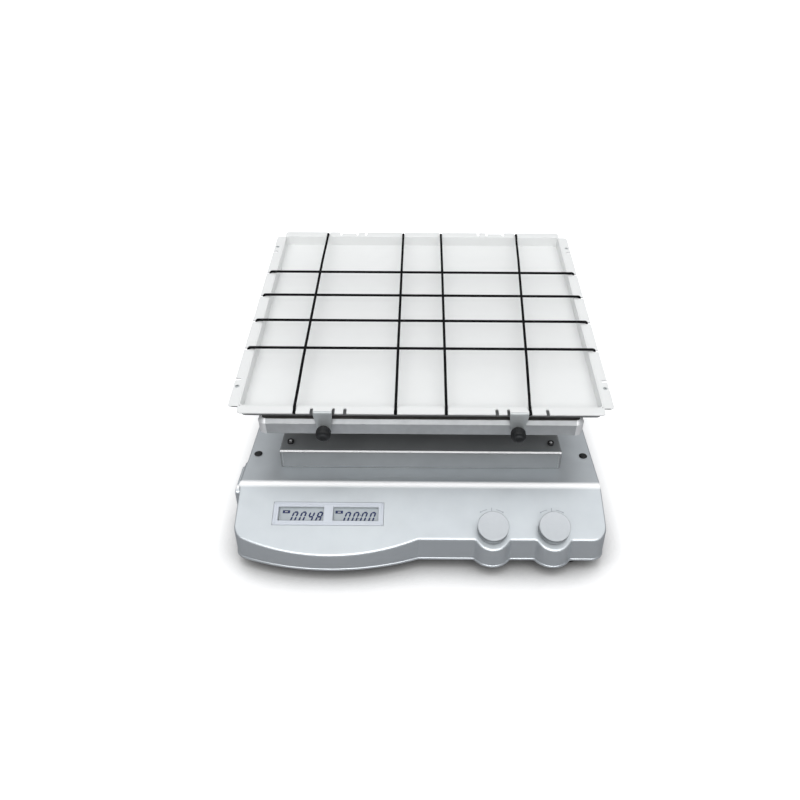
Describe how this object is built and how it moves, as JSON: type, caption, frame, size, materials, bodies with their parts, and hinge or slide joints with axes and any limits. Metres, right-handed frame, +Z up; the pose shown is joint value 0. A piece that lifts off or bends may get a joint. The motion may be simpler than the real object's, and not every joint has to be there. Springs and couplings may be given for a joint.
{
  "type": "three-dimensional laboratory shaker",
  "caption": "Bench shaker whose clamped tray tilts in every direction in turn on a leaning journal, with a sloped panel, display, knobs and elastic cords.",
  "frame": {"origin": "on the bench, in the middle of the bounding box's base", "axes": "+X to the right seen from the front, +Y to the back, +Z up; the tray rests with its front edge low"},
  "size_m": [0.394, 0.4462, 0.219],
  "materials": {
    "silver_paint": "satin silver paint",
    "grey_paint": "satin grey paint",
    "white_powder_coat": "fine white powder coat",
    "anodised_sheet": "fine brushed and anodised",
    "bright_steel": "ground and polished",
    "cast_aluminium": "cast, blasted",
    "black_plastic": "moulded, fine texture",
    "black_rubber": "matt",
    "display_glass": "glossy grey-green",
    "circuit_board": "green lacquer",
    "frame_grey": "satin"
  },
  "bodies": {
    "base": {"base_housing": "silver_paint", "bottom_plate": "grey_paint", "front_left_foot": "black_rubber", "front_right_foot": "black_rubber", "rear_left_foot": "black_rubber", "rear_right_foot": "black_rubber", "front_left_deck_plug": "black_plastic", "front_right_deck_plug": "black_plastic", "rear_left_deck_plug": "black_plastic", "rear_right_deck_plug": "black_plastic", "pedestal_cover": "grey_paint", "front_left_pedestal_screw": "bright_steel", "front_right_pedestal_screw": "bright_steel", "rear_left_pedestal_screw": "bright_steel", "rear_right_pedestal_screw": "bright_steel", "display_frame": "frame_grey", "display_module": "display_glass", "control_board": "circuit_board", "speed_encoder": "black_plastic", "time_encoder": "black_plastic", "switch_housing": "black_plastic", "power_inlet": "black_plastic", "power_board": "circuit_board", "bearing_tower": "cast_aluminium", "upper_shaft_bearing": "bright_steel", "lower_shaft_bearing": "bright_steel", "guide_post": "bright_steel", "motor": "black_plastic", "motor_bracket": "cast_aluminium", "drive_belt": "black_rubber"},
    "drive": {"wobble_hub": "bright_steel", "drive_shaft": "bright_steel", "drive_pulley": "cast_aluminium", "journal_retainer": "bright_steel"},
    "platform": {"platform": "anodised_sheet", "platform_carrier": "cast_aluminium", "guide_fork": "bright_steel", "tray": "white_powder_coat", "wobble_bearing": "bright_steel", "cross_cord_1": "black_rubber", "cross_cord_2": "black_rubber", "cross_cord_3": "black_rubber", "cross_cord_4": "black_rubber", "left_cord": "black_rubber", "middle_left_cord": "black_rubber", "middle_right_cord": "black_rubber", "right_cord": "black_rubber"},
    "motor_rotor": {"motor_pulley": "cast_aluminium", "motor_shaft": "bright_steel"},
    "speed_button": {"speed_plunger": "black_plastic"},
    "speed_dial": {"speed_knob": "silver_paint", "speed_shaft": "bright_steel"},
    "time_button": {"time_plunger": "black_plastic"},
    "time_dial": {"time_knob": "silver_paint", "time_shaft": "bright_steel"},
    "rocker": {"power_rocker": "black_plastic"},
    "front_left_clamp": {"front_left_clamp_screw": "black_plastic"},
    "front_right_clamp": {"front_right_clamp_screw": "black_plastic"},
    "rear_left_clamp": {"rear_left_clamp_screw": "black_plastic"},
    "rear_right_clamp": {"rear_right_clamp_screw": "black_plastic"}
  },
  "joints": [
    {"name": "drive_spin", "type": "hinge", "parent": "base", "child": "drive", "pos_m": [0, 0.0343, 0.1], "axis": [0, 0, 1], "continuous": true},
    {"name": "platform_nutation", "type": "hinge", "parent": "drive", "child": "platform", "pos_m": [0, 0.0343, 0.14], "axis": [0, -0.1564, 0.9877], "continuous": true},
    {"name": "motor_spin", "type": "hinge", "parent": "base", "child": "motor_rotor", "pos_m": [0, 0.1563, 0.03], "axis": [0, 0, 1], "continuous": true},
    {"name": "speed_push", "type": "slide", "parent": "base", "child": "speed_button", "axis": [0, 0.4112, -0.9116], "range_m": [0, 0.0008], "stiffness_N_per_m": 3000, "springref_m": -0.0004},
    {"name": "speed_turn", "type": "hinge", "parent": "speed_button", "child": "speed_dial", "pos_m": [0.0757, -0.19599, 0.0458], "axis": [0, -0.4112, 0.9116], "continuous": true},
    {"name": "time_push", "type": "slide", "parent": "base", "child": "time_button", "axis": [0, 0.4112, -0.9116], "range_m": [0, 0.0008], "stiffness_N_per_m": 3000, "springref_m": -0.0004},
    {"name": "time_turn", "type": "hinge", "parent": "time_button", "child": "time_dial", "pos_m": [0.1393, -0.19599, 0.0458], "axis": [0, -0.4112, 0.9116], "continuous": true},
    {"name": "power_rock", "type": "hinge", "parent": "base", "child": "rocker", "pos_m": [-0.1901, -0.137, 0.0385], "axis": [0, 0, 1], "range_deg": [-16, 0]},
    {"name": "front_left_clamp_turn", "type": "hinge", "parent": "platform", "child": "front_left_clamp", "pos_m": [-0.0998, -0.14615, 0.13825], "axis": [0, -0.9877, -0.1564], "range_deg": [0, 720]},
    {"name": "front_right_clamp_turn", "type": "hinge", "parent": "platform", "child": "front_right_clamp", "pos_m": [0.0998, -0.14615, 0.13825], "axis": [0, -0.9877, -0.1564], "range_deg": [0, 720]},
    {"name": "rear_left_clamp_turn", "type": "hinge", "parent": "platform", "child": "rear_left_clamp", "pos_m": [-0.0998, 0.20646, 0.1941], "axis": [0, 0.9877, 0.1564], "range_deg": [0, 720]},
    {"name": "rear_right_clamp_turn", "type": "hinge", "parent": "platform", "child": "rear_right_clamp", "pos_m": [0.0998, 0.20646, 0.1941], "axis": [0, 0.9877, 0.1564], "range_deg": [0, 720]}
  ],
  "couplings": [
    {"joint": "platform_nutation", "follows": "drive_spin", "ratio": -1},
    {"joint": "motor_spin", "follows": "drive_spin", "ratio": 7.5}
  ]
}
